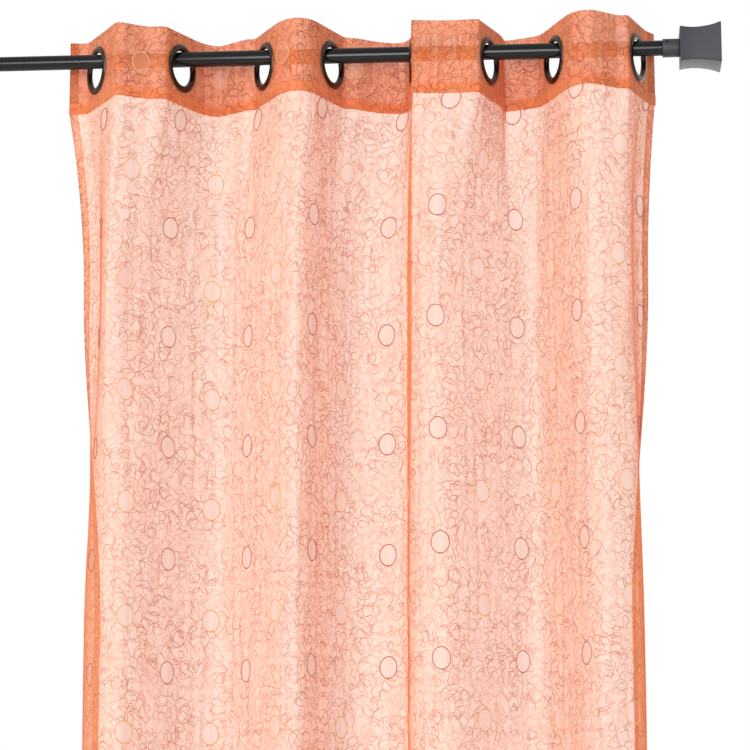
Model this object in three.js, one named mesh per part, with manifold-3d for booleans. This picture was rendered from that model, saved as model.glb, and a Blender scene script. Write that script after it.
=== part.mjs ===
// A sheer voile eyelet curtain, hanging on a plain telescopic rod.
// Millimetres, +Z up, +X along the rod, the front towards -Y. The origin is on the rod's axis.
import * as THREE from 'three';
import { mergeVertices } from 'three/addons/utils/BufferGeometryUtils.js';
import Module from 'manifold-3d';

const wasm = await Module();
wasm.setup();

const GAP = 0.3; // between pieces that touch
const LEANING_GAP = 0.52; // below the heading, where the panel's thickness leans with its folds
const MERGE_WITHIN = 1e-4; // points this close are one

// Voile panel
const CLOTH_WIDTH = 1100; // flat, edge to edge
const CLOTH_THICKNESS = 1.2;
const HEM_THICKNESS = 2;
const SIDE_HEM = 10;
const BOTTOM_HEM = 60;
const HEM_STEP = 3; // the cloth thins to one layer over this much
const HEM_COLUMNS = 2; // columns along each side hem
const CLOTH_COLUMNS = 92; // columns between the side hems
const PANEL_BOTTOM = -2368;

// Heading strip: doubled cloth, its lower edge turned and stitched
const HEADING_TOP = 31;
const HEADING_BOTTOM = -54;
const HEADING_THICKNESS = 1.8;
const TURNED_BAND = 12;
const TURNED_THICKNESS = 2.4;
const BAND_STEP = 1; // the strip thins above its band over this much
const HEADING_COLUMN = 9; // at most, between two columns
const EYELET_FLAT = 57;

// Eyelets
const EYELET_BORE_RADIUS = 20;
const EYELET_RADIUS = 27.9;
const EYELET_HOLE_RADIUS = 24; // cut in the cloth
const EYELET_NECK_RADIUS = 23.5;
const EYELET_STEPS = 24;
const HOLE_STEPS = 32;
// The ring's domed sides: how far out from the bore, and how high above the cloth's middle
const EYELET_DOME = [
  { out: 0.7, height: 2.1 },
  { out: 3, height: 3.2 },
  { out: 6.3, height: 2.7 },
];

// Rod
const OUTER_TUBE_RADIUS = 9;
const INNER_TUBE_RADIUS = 8.3;
const TUBE_OVERLAP = 60; // how far the thin tube runs into the thick one
const THICK_TUBE_START = -262;
const ROD_LEFT = -431;
const ROD_RIGHT = 338;
const COLLAR_RADIUS = 10.5;
const COLLAR_LENGTH = 19;
const ROD_STEPS = 32;
const HANG_GAP = 0.5; // between the rod's top and a ring that hangs on it
const EYELET_DROP = EYELET_BORE_RADIUS - OUTER_TUBE_RADIUS - HANG_GAP;

// Square end pieces: how wide they are at each share of their length
const END_LENGTH = 46;
const END_SIDES = [
  { along: 0, width: 41 },
  { along: 0.1, width: 39.5 },
  { along: 0.32, width: 38 },
  { along: 0.55, width: 39 },
  { along: 0.78, width: 42 },
  { along: 0.93, width: 45.5 },
  { along: 1, width: 47.5 },
];

// How the cloth runs, seen from above. x is along the rod and front is how far in front of
// its axis. turn is the cloth's way there in degrees, 0 to the right and 90 to the front.
// before and after say how far it holds that way on each side of the row.

// The heading: the cloth is flat where an eyelet grips it, and folded in between.
const HEADING_FOLDS = [
  { at: 'left edge', x: -343, front: -25, turn: -4, before: 0, after: 8 },
  { at: 'eyelet', x: -306.5, front: 0, turn: 58.5, before: 6, after: 14 },
  { at: 'front 1', x: -274, front: 49, turn: -18, before: 5, after: 9 },
  { at: 'shoulder 1', x: -243, front: 30, turn: -18, before: 8, after: 6 },
  { at: 'eyelet', x: -209.5, front: 0, turn: -64.5, before: 8, after: 12 },
  { at: 'back 1', x: -172, front: -50, turn: 6, before: 8, after: 4 },
  { at: 'slack 1', x: -138, front: -27, turn: 28, before: 12, after: 5 },
  { at: 'eyelet', x: -113.5, front: 0, turn: 61, before: 3, after: 12 },
  { at: 'front 2', x: -74, front: 49, turn: -2, before: 8, after: 12 },
  { at: 'eyelet', x: -37, front: 0, turn: -66.5, before: 20, after: 4 },
  { at: 'slack 2', x: -4, front: -37, turn: -38, before: 12, after: 14 },
  { at: 'back 2', x: 37, front: -55, turn: 2, before: 14, after: 6 },
  { at: 'eyelet', x: 54.5, front: 0, turn: 86, before: 12, after: 5 },
  { at: 'front 3', x: 90, front: 26, turn: -3, before: 27, after: 24 },
  { at: 'eyelet', x: 142, front: 0, turn: -69.5, before: 3, after: 18 },
  { at: 'back 3', x: 159, front: -56, turn: 14, before: 2, after: 12 },
  { at: 'slack 3', x: 192, front: -43, turn: 22, before: 10, after: 5 },
  { at: 'eyelet', x: 216.5, front: 0, turn: 67, before: 8, after: 14 },
  { at: 'front 4', x: 256, front: 51, turn: -4, before: 12, after: 8 },
  { at: 'slack 4', x: 286, front: 30, turn: -38, before: 14, after: 6 },
  { at: 'eyelet', x: 309.5, front: 0, turn: -70.5, before: 4, after: 8 },
  { at: 'right edge', x: 330, front: -44, turn: -58, before: 6, after: 0 },
];
const EYELETS = HEADING_FOLDS.filter((row) => row.at === 'eyelet');

// The hanging cloth: one row for each fold, the same twelve at each height.
const SECTIONS = [
  {
    z: -263,
    folds: [
      { at: 'left edge', x: -328, front: -46, turn: 30, before: 0, after: 9 },
      { at: 'left crease', x: -299, front: -6, turn: 88, before: 22, after: 24 },
      { at: 'front 1', x: -276, front: 47, turn: 0, before: 12, after: 14 },
      { at: 'back 1', x: -166, front: -51, turn: 0, before: 24, after: 16 },
      { at: 'front 2', x: -71, front: 47, turn: 0, before: 20, after: 12 },
      { at: 'back 2', x: 6, front: -52, turn: 0, before: 38, after: 14 },
      { at: 'long crease', x: 50, front: -8, turn: 101, before: 34, after: 22 },
      { at: 'front 3', x: 84, front: 38, turn: 0, before: 18, after: 16 },
      { at: 'back 3', x: 184, front: -54, turn: 0, before: 14, after: 16 },
      { at: 'front 4', x: 258, front: 50, turn: 0, before: 20, after: 16 },
      { at: 'right crease', x: 300, front: 8, turn: -86, before: 26, after: 16 },
      { at: 'right edge', x: 319, front: -30, turn: -45, before: 10, after: 0 },
    ],
  },
  {
    z: -639,
    folds: [
      { at: 'left edge', x: -303, front: -52, turn: 122, before: 0, after: 10 },
      { at: 'left crease', x: -315, front: -24, turn: 88, before: 14, after: 18 },
      { at: 'front 1', x: -264, front: 45, turn: 0, before: 24, after: 14 },
      { at: 'back 1', x: -168, front: -52, turn: 0, before: 26, after: 18 },
      { at: 'front 2', x: -73, front: 47, turn: 0, before: 20, after: 14 },
      { at: 'back 2', x: 2, front: -54, turn: 0, before: 38, after: 14 },
      { at: 'long crease', x: 47, front: -14, turn: 92, before: 36, after: 22 },
      { at: 'front 3', x: 87, front: 38, turn: 0, before: 22, after: 20 },
      { at: 'back 3', x: 187, front: -56, turn: 0, before: 18, after: 18 },
      { at: 'front 4', x: 262, front: 46, turn: 0, before: 20, after: 18 },
      { at: 'right crease', x: 305, front: 4, turn: -90, before: 24, after: 16 },
      { at: 'right edge', x: 294, front: -40, turn: -112, before: 12, after: 0 },
    ],
  },
  {
    z: PANEL_BOTTOM,
    folds: [
      { at: 'left edge', x: -297, front: -50, turn: 128, before: 0, after: 12 },
      { at: 'left crease', x: -312, front: -18, turn: 86, before: 14, after: 18 },
      { at: 'front 1', x: -254, front: 48, turn: 0, before: 28, after: 20 },
      { at: 'back 1', x: -156, front: -50, turn: 0, before: 30, after: 24 },
      { at: 'front 2', x: -64, front: 50, turn: 0, before: 26, after: 18 },
      { at: 'back 2', x: 8, front: -52, turn: 0, before: 38, after: 16 },
      { at: 'long crease', x: 54, front: -8, turn: 78, before: 30, after: 24 },
      { at: 'front 3', x: 96, front: 44, turn: 0, before: 26, after: 24 },
      { at: 'back 3', x: 188, front: -54, turn: 0, before: 22, after: 24 },
      { at: 'front 4', x: 264, front: 46, turn: 0, before: 26, after: 22 },
      { at: 'right crease', x: 302, front: 2, turn: -86, before: 20, after: 16 },
      { at: 'right edge', x: 288, front: -42, turn: -118, before: 12, after: 0 },
    ],
  },
];

// Heights of the panel's rows, closer where the folds of the heading open into the cloth
const PANEL_ROWS = [
  HEADING_BOTTOM - LEANING_GAP, -85, -130, -190, -263, -350, -450, -545, -639, -900, -1250, -1600,
  -1950, PANEL_BOTTOM + BOTTOM_HEM + HEM_STEP, PANEL_BOTTOM + BOTTOM_HEM, PANEL_BOTTOM,
];

const onLine = (row, along) => new THREE.Vector2(
  row.x + along * Math.cos(THREE.MathUtils.degToRad(row.turn)),
  row.front + along * Math.sin(THREE.MathUtils.degToRad(row.turn)),
);

const fold = (a, b) => new THREE.CubicBezierCurve(
  onLine(a, 0), onLine(a, a.after), onLine(b, -b.before), onLine(b, 0),
);

const SOLVE_STEPS = 40;
const LEAST_DEPTH = 0.6; // a section's folds are made this many times as deep, or more
const MOST_DEPTH = 1.6;

// A line of cloth through its rows, from the left edge to the right one
function clothLine(rows) {
  const line = new THREE.CurvePath();
  for (let i = 1; i < rows.length; i++) line.add(fold(rows[i - 1], rows[i]));
  return line;
}

// Folds as deep as the width of the cloth asks for
function bodyLine(rows) {
  const deepened = (depth) => clothLine(rows.map((r) => ({ ...r, front: r.front * depth })));
  let low = LEAST_DEPTH;
  let high = MOST_DEPTH;
  for (let i = 0; i < SOLVE_STEPS; i++) {
    const middle = (low + high) / 2;
    if (deepened(middle).getLength() < CLOTH_WIDTH) low = middle;
    else high = middle;
  }
  return deepened(low);
}

// The heading: an eyelet's row stands for both ends of the flat that it holds
function headingLine() {
  const half = EYELET_FLAT / 2;
  return clothLine(HEADING_FOLDS.flatMap((row) => {
    if (row.at !== 'eyelet') return [row];
    const [start, end] = [onLine(row, -half), onLine(row, half)];
    return [
      { ...row, x: start.x, front: start.y, after: half },
      { ...row, x: end.x, front: end.y, before: half },
    ];
  }));
}

const heading = headingLine();
const levels = [
  { z: HEADING_BOTTOM, line: heading },
  ...SECTIONS.map((s) => ({ z: s.z, line: bodyLine(s.folds) })),
];

// The cloth's place at a share of its width and a height
function clothPoint(share, z) {
  const next = levels.findIndex((level, i) => i > 0 && z >= level.z);
  const below = levels[next < 0 ? levels.length - 1 : next];
  const above = levels[levels.indexOf(below) - 1];
  const down = (above.z - z) / (above.z - below.z);
  // the folds open at once under the heading, and then change slowly
  const blend = above === levels[0] ? 1 - (1 - down) ** 2 : THREE.MathUtils.smoothstep(down, 0, 1);
  const p = above.line.getPoint(share).lerp(below.line.getPoint(share), blend);
  return new THREE.Vector3(p.x, -p.y, z);
}

// A closed sheet about a grid of points, whose rows go down and whose columns go right
function sheet(grid, thickness) {
  const rows = grid.length;
  const columns = grid[0].length;
  const front = [];
  const back = [];
  grid.forEach((row, r) => row.forEach((point, c) => {
    const across = row[Math.min(c + 1, columns - 1)].clone().sub(row[Math.max(c - 1, 0)]);
    const down = grid[Math.min(r + 1, rows - 1)][c].clone().sub(grid[Math.max(r - 1, 0)][c]);
    const out = across.cross(down).setLength(thickness(r, c) / 2);
    front.push(point.clone().sub(out));
    back.push(point.clone().add(out));
  }));
  const index = [];
  const quad = (a, b, c, d) => index.push(a, b, c, a, c, d);
  const f = (r, c) => r * columns + c;
  const b = (r, c) => rows * columns + r * columns + c;
  for (let r = 0; r < rows - 1; r++) {
    for (let c = 0; c < columns - 1; c++) {
      quad(f(r, c), f(r + 1, c), f(r + 1, c + 1), f(r, c + 1));
      quad(b(r, c), b(r, c + 1), b(r + 1, c + 1), b(r + 1, c));
    }
    quad(f(r, 0), b(r, 0), b(r + 1, 0), f(r + 1, 0));
    const last = columns - 1;
    quad(f(r, last), f(r + 1, last), b(r + 1, last), b(r, last));
  }
  for (let c = 0; c < columns - 1; c++) {
    quad(f(0, c), f(0, c + 1), b(0, c + 1), b(0, c));
    const last = rows - 1;
    quad(f(last, c), b(last, c), b(last, c + 1), f(last, c + 1));
  }
  const geometry = new THREE.BufferGeometry().setFromPoints([...front, ...back]);
  geometry.setIndex(index);
  return geometry;
}

function toSolid(geometry) {
  const shape = geometry.clone();
  shape.deleteAttribute('normal');
  shape.deleteAttribute('uv');
  const merged = mergeVertices(shape, MERGE_WITHIN);
  return new wasm.Manifold(new wasm.Mesh({
    numProp: 3,
    vertProperties: Float32Array.from(merged.attributes.position.array),
    triVerts: Uint32Array.from(merged.index.array),
  }));
}

function toGeometry(solid) {
  const mesh = solid.getMesh();
  const geometry = new THREE.BufferGeometry();
  geometry.setAttribute('position', new THREE.BufferAttribute(mesh.vertProperties, 3));
  geometry.setIndex([...mesh.triVerts]);
  return geometry;
}

// Shares of the width at which the panel has its columns, with one at each side hem's edge
function panelColumns() {
  const hem = SIDE_HEM / CLOTH_WIDTH;
  const step = (SIDE_HEM + HEM_STEP) / CLOTH_WIDTH;
  const middle = Array.from(
    { length: CLOTH_COLUMNS + 1 },
    (_, i) => step + (1 - 2 * step) * i / CLOTH_COLUMNS,
  );
  return [0, hem, ...middle, 1 - hem, 1];
}

function panelGeometry() {
  const columns = panelColumns();
  const grid = PANEL_ROWS.map((z) => columns.map((share) => clothPoint(share, z)));
  return sheet(grid, (r, c) => {
    const atSide = c < HEM_COLUMNS || c >= columns.length - HEM_COLUMNS;
    const atBottom = PANEL_ROWS[r] <= PANEL_BOTTOM + BOTTOM_HEM;
    return atSide || atBottom ? HEM_THICKNESS : CLOTH_THICKNESS;
  });
}

// Columns of the heading, with one at each row so that the flats stay flat
function headingColumns() {
  const total = heading.getLength();
  const lengths = heading.getCurveLengths();
  const shares = [0];
  heading.curves.forEach((curve, i) => {
    const start = i ? lengths[i - 1] : 0;
    const steps = Math.ceil((lengths[i] - start) / HEADING_COLUMN);
    for (let k = 1; k <= steps; k++) {
      shares.push((start + (lengths[i] - start) * k / steps) / total);
    }
  });
  return shares;
}

function headingGeometry() {
  const rows = [
    { z: HEADING_TOP, thickness: HEADING_THICKNESS },
    { z: HEADING_BOTTOM + TURNED_BAND + BAND_STEP, thickness: HEADING_THICKNESS },
    { z: HEADING_BOTTOM + TURNED_BAND, thickness: TURNED_THICKNESS },
    { z: HEADING_BOTTOM, thickness: TURNED_THICKNESS },
  ];
  const grid = rows.map(({ z }) => headingColumns().map((share) => {
    const p = heading.getPoint(share);
    return new THREE.Vector3(p.x, -p.y, z);
  }));
  let strip = toSolid(sheet(grid, (r) => rows[r].thickness));
  EYELETS.forEach((e) => {
    const cutter = new THREE.CylinderGeometry(
      EYELET_HOLE_RADIUS, EYELET_HOLE_RADIUS, 4 * HEADING_THICKNESS, HOLE_STEPS,
    );
    cutter.applyMatrix4(eyeletPlace(e));
    strip = strip.subtract(toSolid(cutter));
  });
  return toGeometry(strip);
}

// A ring's axis is the lathe's Y axis, turned to stand square to the cloth
function eyeletPlace(e) {
  return new THREE.Matrix4()
    .makeRotationZ(-THREE.MathUtils.degToRad(e.turn))
    .setPosition(e.x, 0, -EYELET_DROP);
}

// A domed snap ring with a groove round it that grips the cloth
function eyeletGeometry() {
  const groove = TURNED_THICKNESS / 2 + GAP;
  const half = [
    ...EYELET_DOME.map(({ out, height }) => [EYELET_BORE_RADIUS + out, height]),
    [EYELET_RADIUS, groove],
    [EYELET_NECK_RADIUS, groove],
  ];
  const outline = [
    [EYELET_BORE_RADIUS, 0],
    ...half.map(([r, y]) => [r, -y]),
    ...half.map(([r, y]) => [r, y]).reverse(),
    [EYELET_BORE_RADIUS, 0],
  ];
  const points = outline.map(([r, y]) => new THREE.Vector2(r, y));
  return new THREE.LatheGeometry(points, EYELET_STEPS);
}

// Turned pieces lie along X: the lathe's Y axis becomes +X
function turned(outline, steps) {
  const points = outline.map(([along, radius]) => new THREE.Vector2(radius, along));
  return new THREE.LatheGeometry(points, steps).rotateZ(-Math.PI / 2);
}

const plainRound = (from, to, radius) => turned(
  [[from, 0], [from, radius], [to, radius], [to, 0]], ROD_STEPS,
);

// The thick tube has a blind bore that the thin one slides in
function outerTubeGeometry() {
  const bore = INNER_TUBE_RADIUS + GAP;
  const floor = THICK_TUBE_START + TUBE_OVERLAP;
  return turned([
    [floor, 0],
    [floor, bore],
    [THICK_TUBE_START, bore],
    [THICK_TUBE_START, OUTER_TUBE_RADIUS],
    [ROD_RIGHT, OUTER_TUBE_RADIUS],
    [ROD_RIGHT, 0],
  ], ROD_STEPS);
}

// A four-sided lathe makes the square end with its hollowed sides
function endGeometry() {
  const outline = END_SIDES.map(({ along, width }) => [along * END_LENGTH, width / Math.SQRT2]);
  const closed = [[0, 0], ...outline, [END_LENGTH, 0]];
  return turned(closed, 4).rotateX(Math.PI / 4);
}

const finish = (color, roughness, metalness) => new THREE.MeshStandardMaterial(
  { color, roughness, metalness },
);
const voile = finish('#eda582', 0.85, 0);
const doubledVoile = finish('#dc8a6a', 0.85, 0);
const blackNickel = finish('#3a3736', 0.25, 0.9);
const blackSatin = finish('#1f1e20', 0.45, 0.3);
const anthracite = finish('#474a52', 0.6, 0.1);

const curtain = new THREE.Group();

function addPiece(name, geometry, material, group = curtain) {
  const piece = new THREE.Mesh(geometry, material);
  piece.name = name;
  group.add(piece);
  return piece;
}

addPiece('voile_panel', panelGeometry(), voile);
addPiece('heading_strip', headingGeometry(), doubledVoile);

EYELETS.forEach((e, i) => {
  addPiece(`eyelet_${i + 1}`, eyeletGeometry(), blackNickel).applyMatrix4(eyeletPlace(e));
});

const rod = new THREE.Group();
curtain.add(rod);
addPiece('rod_thick_tube', outerTubeGeometry(), blackSatin, rod);
const thinEnd = THICK_TUBE_START + TUBE_OVERLAP - GAP;
addPiece('rod_thin_tube', plainRound(ROD_LEFT, thinEnd, INNER_TUBE_RADIUS), blackSatin, rod);

// Each end of the rod: a collar, then the square end piece
const SIDES = [
  { name: 'left', x: ROD_LEFT, turn: Math.PI },
  { name: 'right', x: ROD_RIGHT, turn: 0 },
];
for (const side of SIDES) {
  const end = new THREE.Group();
  end.position.x = side.x;
  end.rotation.z = side.turn;
  rod.add(end);
  const collarEnd = GAP + COLLAR_LENGTH;
  addPiece(`${side.name}_collar`, plainRound(GAP, collarEnd, COLLAR_RADIUS), anthracite, end);
  const piece = addPiece(`${side.name}_end_piece`, endGeometry(), anthracite, end);
  piece.position.x = collarEnd + GAP;
}

export default curtain;
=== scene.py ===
import math

import bmesh
import bpy
import numpy as np
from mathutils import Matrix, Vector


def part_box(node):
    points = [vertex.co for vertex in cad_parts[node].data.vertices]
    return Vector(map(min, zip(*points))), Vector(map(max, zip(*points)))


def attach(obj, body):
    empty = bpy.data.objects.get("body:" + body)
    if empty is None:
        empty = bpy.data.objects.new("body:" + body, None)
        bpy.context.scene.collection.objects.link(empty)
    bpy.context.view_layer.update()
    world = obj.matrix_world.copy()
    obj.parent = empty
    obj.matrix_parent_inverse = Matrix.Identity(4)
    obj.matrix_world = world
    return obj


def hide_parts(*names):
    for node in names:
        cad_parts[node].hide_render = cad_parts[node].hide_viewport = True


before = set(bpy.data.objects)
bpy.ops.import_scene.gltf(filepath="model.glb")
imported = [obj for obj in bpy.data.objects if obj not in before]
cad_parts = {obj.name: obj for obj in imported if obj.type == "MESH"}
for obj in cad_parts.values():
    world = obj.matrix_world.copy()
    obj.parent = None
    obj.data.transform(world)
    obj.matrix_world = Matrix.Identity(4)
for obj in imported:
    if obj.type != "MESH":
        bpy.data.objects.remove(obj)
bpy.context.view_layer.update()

# ------------------------------------------------------------------ Camera
# It stands a little right of the middle, three metres out and level with the lower part of
# the view, and looks up at the rod. Metres, as everywhere here.
CAMERA_DISTANCE = 3.0
CAMERA_HEIGHT = -0.933
CAMERA_TURN = math.radians(4.3)
CAMERA_TILT = math.radians(10.62)
CAMERA_ROLL = math.radians(0.1)
VIEW_CENTRE_X = 0.011
SENSOR = 0.036
LENS = SENSOR * 2740 / 750

camera_data = bpy.data.cameras.new("camera")
camera_data.sensor_width = SENSOR * 1000
camera_data.lens = LENS * 1000
camera_data.clip_start = 0.05
camera_data.clip_end = 50
camera = bpy.data.objects.new("camera", camera_data)
camera.location = (
    VIEW_CENTRE_X + CAMERA_DISTANCE * math.sin(CAMERA_TURN),
    -CAMERA_DISTANCE * math.cos(CAMERA_TURN),
    CAMERA_HEIGHT,
)
camera.rotation_euler = (math.pi / 2 + CAMERA_TILT, CAMERA_ROLL, CAMERA_TURN)
bpy.context.scene.collection.objects.link(camera)
bpy.context.scene.camera = camera


# ------------------------------------------------------------------ Rod
# Two steel tubes, the thin one sliding in the thick one, drawn, polished and stove-enamelled
# satin black. The thick one's mouth is rolled over and shows a fine bright line.
THICK_RADIUS = 0.009
THIN_RADIUS = 0.0083
ROLLED_LIP = 0.0006
LIP_ROUND = 0.00015
TUBE_EDGE = 0.0004
TUBE_GAP = 0.0003         # round the thin tube inside the thick one
ROUND_STEPS = 96
thick_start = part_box("rod_thick_tube")[0][0]
rod_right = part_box("rod_thick_tube")[1][0]
rod_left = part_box("rod_thin_tube")[0][0]
thin_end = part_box("rod_thin_tube")[1][0]


def linear(hex_colour):
    """An sRGB hex value as the linear colour that a socket takes."""
    parts = [int(hex_colour[i:i + 2], 16) / 255 for i in (1, 3, 5)]
    return [c / 12.92 if c <= 0.04045 else ((c + 0.055) / 1.055) ** 2.4 for c in parts] + [1]


def add_node(tree, kind, inputs=(), **settings):
    """Adds a node. Its kind leaves out "ShaderNode", and may end in the node's operation. Inputs
    go by place or by name. Each is a value, a socket to link from, or a node whose first output
    in use is linked."""
    kind, *operation = kind.split()
    node = tree.nodes.new(kind if "Node" in kind else "ShaderNode" + kind)
    if operation:
        node.operation = operation[0]
    for name, value in settings.items():
        setattr(node, name, value)
    for name, value in inputs.items() if isinstance(inputs, dict) else enumerate(inputs):
        if isinstance(value, bpy.types.Node):
            value = next(socket for socket in value.outputs if socket.enabled)
        if isinstance(value, bpy.types.NodeSocket):
            tree.links.new(value, node.inputs[name])
        else:
            node.inputs[name].default_value = value
    return node


def new_material(name):
    material = bpy.data.materials.new(name)
    material.use_nodes = True
    material.node_tree.nodes.clear()
    return material, material.node_tree


def finish_surface(tree, share, dark, light, relief, strength, distance, look):
    """Ends a hard material: a colour between two, a fine relief, and the shader with both."""
    shade = add_node(tree, "Mix", {
        0: share, 6: linear(dark), 7: linear(light)}, data_type="RGBA")
    bump = add_node(tree, "Bump", {
        "Strength": strength, "Distance": distance, "Height": relief})
    shader = add_node(tree, "BsdfPrincipled", {
        "Base Color": shade, "Normal": bump, **look})
    add_node(tree, "OutputMaterial", (shader,))


def lathe(outline, steps=ROUND_STEPS):
    """A closed outline of (along X, radius) points turned about the X axis."""
    vertices, faces = [], []
    angles = [2 * math.pi * k / steps for k in range(steps)]
    rings = []
    for along, radius in outline:
        if radius < 1e-7:
            rings.append([len(vertices)] * steps)
            vertices.append((along, 0, 0))
        else:
            rings.append(list(range(len(vertices), len(vertices) + steps)))
            vertices += [(along, -radius * math.sin(a), radius * math.cos(a)) for a in angles]
    for here, there in zip(rings, rings[1:] + rings[:1]):
        for k in range(steps):
            corners = [here[k], here[k - 1], there[k - 1], there[k]]
            corners = list(dict.fromkeys(corners))
            if len(corners) > 2:
                faces.append(corners)
    return vertices, faces


def new_piece(name, vertices, faces, material, smooth=True):
    mesh = bpy.data.meshes.new(name)
    mesh.from_pydata(vertices, [], faces)
    work = bmesh.new()
    work.from_mesh(mesh)
    bmesh.ops.recalc_face_normals(work, faces=work.faces)
    work.to_mesh(mesh)
    work.free()
    mesh.materials.append(material)
    if smooth:
        mesh.shade_smooth()
    piece = bpy.data.objects.new(name, mesh)
    bpy.context.scene.collection.objects.link(piece)
    return piece


def crease_sharp(piece, degrees=35):
    """Keeps the edges that are sharper than this from being shaded round."""
    piece.data.set_sharp_from_angle(angle=math.radians(degrees))


# Stove enamel over drawn steel: black, satin, with faint drawing lines along the tube that
# soften the highlight and a fine orange peel.
enamel, tree = new_material("black_stove_enamel")
place = add_node(tree, "TexCoord").outputs["Object"]
along = add_node(tree, "Mapping", {"Vector": place, "Scale": (12, 900, 900)})
drawn = add_node(tree, "TexNoise", {"Vector": along, "Scale": 1.0, "Detail": 3.0})
peel = add_node(tree, "TexNoise", {"Vector": place, "Scale": 420.0, "Detail": 2.0})
satin = add_node(tree, "MapRange", {"Value": drawn, "To Min": 0.2, "To Max": 0.28})
tint = add_node(tree, "MapRange", {"Value": drawn, "From Min": 0.3, "From Max": 0.7})
finish_surface(tree, tint, "#070708", "#0e0d0f", peel, 0.12, 0.0002, {
    "Roughness": satin, "Specular IOR Level": 0.35, "IOR": 1.5})

bore = THIN_RADIUS + TUBE_GAP
floor_of_bore = thin_end + TUBE_GAP
thick_tube = new_piece("thick_tube", *lathe([
    (floor_of_bore, 0), (floor_of_bore, bore), (thick_start + ROLLED_LIP, bore),
    (thick_start, bore + LIP_ROUND), (thick_start, THICK_RADIUS - LIP_ROUND),
    (thick_start + ROLLED_LIP, THICK_RADIUS), (0, THICK_RADIUS),
    (rod_right - TUBE_EDGE, THICK_RADIUS), (rod_right, THICK_RADIUS - TUBE_EDGE), (rod_right, 0),
]), enamel)
thin_tube = new_piece("thin_tube", *lathe([
    (rod_left, 0), (rod_left, THIN_RADIUS - TUBE_EDGE), (rod_left + TUBE_EDGE, THIN_RADIUS),
    (thin_end - TUBE_EDGE, THIN_RADIUS), (thin_end, THIN_RADIUS - TUBE_EDGE), (thin_end, 0),
]), enamel)
for tube, node in ((thick_tube, "rod_thick_tube"), (thin_tube, "rod_thin_tube")):
    crease_sharp(tube)
    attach(tube, "root")
    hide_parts(node)


# ------------------------------------------------------------------ Collars and end pieces
# Short moulded sleeves lock onto the rod with a grub screw, and carry the square end pieces,
# moulded in matte anthracite plastic with hollowed sides that flare to the outer face.
COLLAR_RADIUS = 0.0105
COLLAR_EDGE = 0.0006
COLLAR_GROOVE = 0.0003              # deep, near its outer end
SCREW_RADIUS = 0.0017
SCREW_ANGLE = math.radians(-62)     # from the top towards the front
SCREW_SHARE = 0.27                  # of the collar's length, from the rod
SCREW_STEPS = 18
# the screw's outline: shares of its radius, and metres above the collar
SCREW_OUTLINE = [(1, -0.0004), (1, 0.00035), (0.8, 0.0006), (0.45, 0.0006), (0.4, -0.0002)]
# of the end piece: share of its length from the collar, and mm across its sides
END_SIDES = [(0, 41), (0.1, 39.5), (0.32, 38), (0.55, 39), (0.78, 42), (0.93, 45.5), (1, 47.5)]
END_CORNER = 0.0022                 # the radius of the edges along the piece
END_LIP = 0.0008
CORNER_STEPS = 6
END_STEPS = 40

# Moulded ABS: matte, with the fine even grain of a spark-eroded mould and a faint mottling.
moulded, tree = new_material("moulded_anthracite_abs")
place = add_node(tree, "TexCoord").outputs["Object"]
grain = add_node(tree, "TexNoise", {
    "Vector": place, "Scale": 1400.0, "Detail": 2.0, "Roughness": 0.6})
cloud = add_node(tree, "TexNoise", {"Vector": place, "Scale": 55.0, "Detail": 3.0})
matte = add_node(tree, "MapRange", {"Value": grain, "To Min": 0.5, "To Max": 0.68})
finish_surface(tree, cloud, "#2b2e35", "#373a42", grain, 0.3, 0.0002, {
    "Roughness": matte, "IOR": 1.54})


def loft(rings):
    """Rings of equally many points, joined in their order, with both ends closed."""
    count = len(rings[0])
    last = count * (len(rings) - 1)
    faces = []
    for start in range(0, last, count):
        for k in range(count):
            a, b = start + k, start + (k + 1) % count
            faces.append((a, b, b + count, a + count))
    faces += [tuple(range(count)), tuple(range(last, last + count))]
    return [point for ring in rings for point in ring], faces


def rounded_square(half, corner):
    """Points of a square with round corners, (y, z), once round."""
    points = []
    for quarter in range(4):
        for k in range(CORNER_STEPS + 1):
            a = math.pi / 2 * (quarter + k / CORNER_STEPS)
            y = math.copysign(half - corner, math.cos(math.pi / 2 * (quarter + 0.5)))
            z = math.copysign(half - corner, math.sin(math.pi / 2 * (quarter + 0.5)))
            points.append((y + corner * math.cos(a), z + corner * math.sin(a)))
    return points


def smooth_curve(xs, ys):
    """A smooth function through the points, by cubics with slopes from the neighbours."""
    xs, ys = np.array(xs, float), np.array(ys, float)
    slopes = np.gradient(ys, xs)

    def at(x):
        i = int(np.clip(np.searchsorted(xs, x) - 1, 0, len(xs) - 2))
        h = xs[i + 1] - xs[i]
        t = (x - xs[i]) / h
        return ((2 * t**3 - 3 * t**2 + 1) * ys[i] + (t**3 - 2 * t**2 + t) * h * slopes[i]
                + (3 * t**2 - 2 * t**3) * ys[i + 1] + (t**3 - t**2) * h * slopes[i + 1])
    return at


def end_piece_mesh(inner, outer):
    """The flared square from its inner to its outer face along X, with softened rims."""
    half_width = smooth_curve([share for share, _ in END_SIDES], [w / 2000 for _, w in END_SIDES])
    lip = END_LIP / abs(outer - inner)
    stations = [(0, -END_LIP), (lip, 0), *[(k / END_STEPS, 0) for k in range(1, END_STEPS)],
                (1 - lip, 0), (1, -END_LIP)]
    return loft([[(inner + share * (outer - inner), y, z)
                  for y, z in rounded_square(half_width(share) + inset, END_CORNER)]
                 for share, inset in stations])


def grub_screw_mesh(x, radius):
    """A disc with a sunk middle that is set in the collar and faces outwards."""
    out = np.array([0, math.sin(SCREW_ANGLE), math.cos(SCREW_ANGLE)])
    along, side = np.array([1, 0, 0]), np.cross(out, (1, 0, 0))
    angles = [2 * math.pi * k / SCREW_STEPS for k in range(SCREW_STEPS)]
    return loft([[tuple(x * along + out * (radius + height)
                        + share * SCREW_RADIUS * (math.cos(a) * along + math.sin(a) * side))
                  for a in angles] for share, height in SCREW_OUTLINE])


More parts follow.
